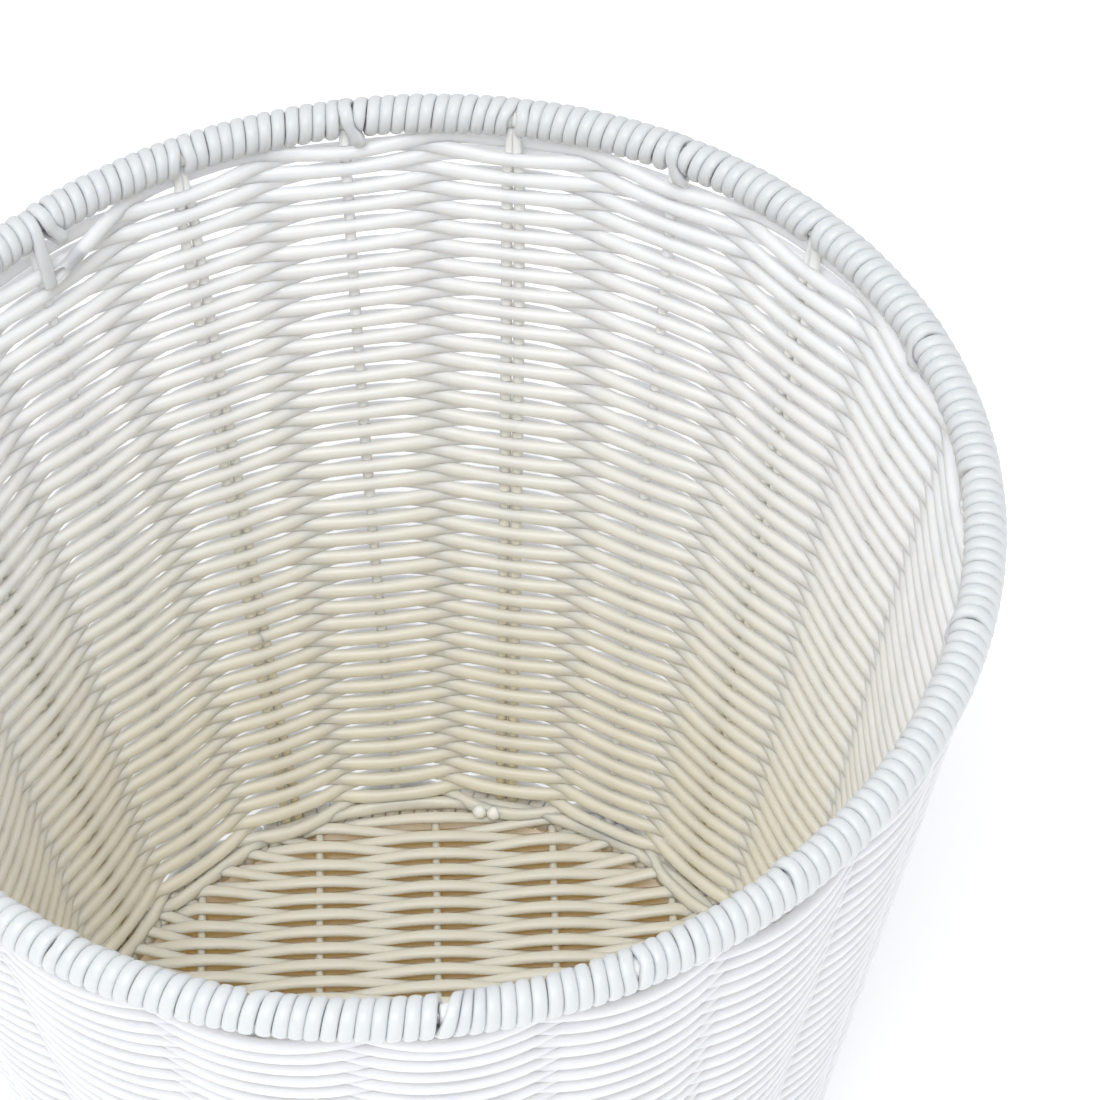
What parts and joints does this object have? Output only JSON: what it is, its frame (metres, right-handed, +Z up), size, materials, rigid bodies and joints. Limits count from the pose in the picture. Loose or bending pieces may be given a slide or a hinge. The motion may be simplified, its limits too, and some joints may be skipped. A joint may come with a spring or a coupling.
{
  "type": "woven wastebasket",
  "caption": "Round open-topped wastebasket woven from white plastic strand round upright stakes, between a wrapped wire rim hoop and a wrapped wire foot hoop, with a flat woven base.",
  "frame": {"origin": "middle of the foot, on the floor", "axes": "+Z up through the middle of the rim; +Y along the base sticks"},
  "size_m": [0.2898, 0.2898, 0.245],
  "materials": {
    "rim_strand": "satin, slightly flattened round strand",
    "wall_strand": "satin, slightly see-through round strand",
    "base_strand": "satin",
    "rod": "satin",
    "hoop_wire": "drawn wire"
  },
  "bodies": {
    "root": {"rim_hoop": "hoop_wire", "rim_wrap": "rim_strand", "foot_hoop": "hoop_wire", "foot_wrap": "wall_strand", "wall_weave": "wall_strand", "base_weave": "base_strand", "base_stick_1": "rod", "base_stick_2": "rod", "base_stick_3": "rod", "base_stick_4": "rod", "base_stick_5": "rod", "single_stake_01": "rod", "single_stake_02": "rod", "single_stake_03": "rod", "single_stake_04": "rod", "single_stake_05": "rod", "single_stake_06": "rod", "single_stake_07": "rod", "single_stake_08": "rod", "single_stake_09": "rod", "single_stake_10": "rod", "paired_stake_01a": "rod", "paired_stake_01b": "rod", "paired_stake_02a": "rod", "paired_stake_02b": "rod", "paired_stake_03a": "rod", "paired_stake_03b": "rod", "paired_stake_04a": "rod", "paired_stake_04b": "rod", "paired_stake_05a": "rod", "paired_stake_05b": "rod", "paired_stake_06a": "rod", "paired_stake_06b": "rod", "paired_stake_07a": "rod", "paired_stake_07b": "rod", "paired_stake_08a": "rod", "paired_stake_08b": "rod", "paired_stake_09a": "rod", "paired_stake_09b": "rod", "paired_stake_10a": "rod", "paired_stake_10b": "rod"}
  },
  "joints": []
}
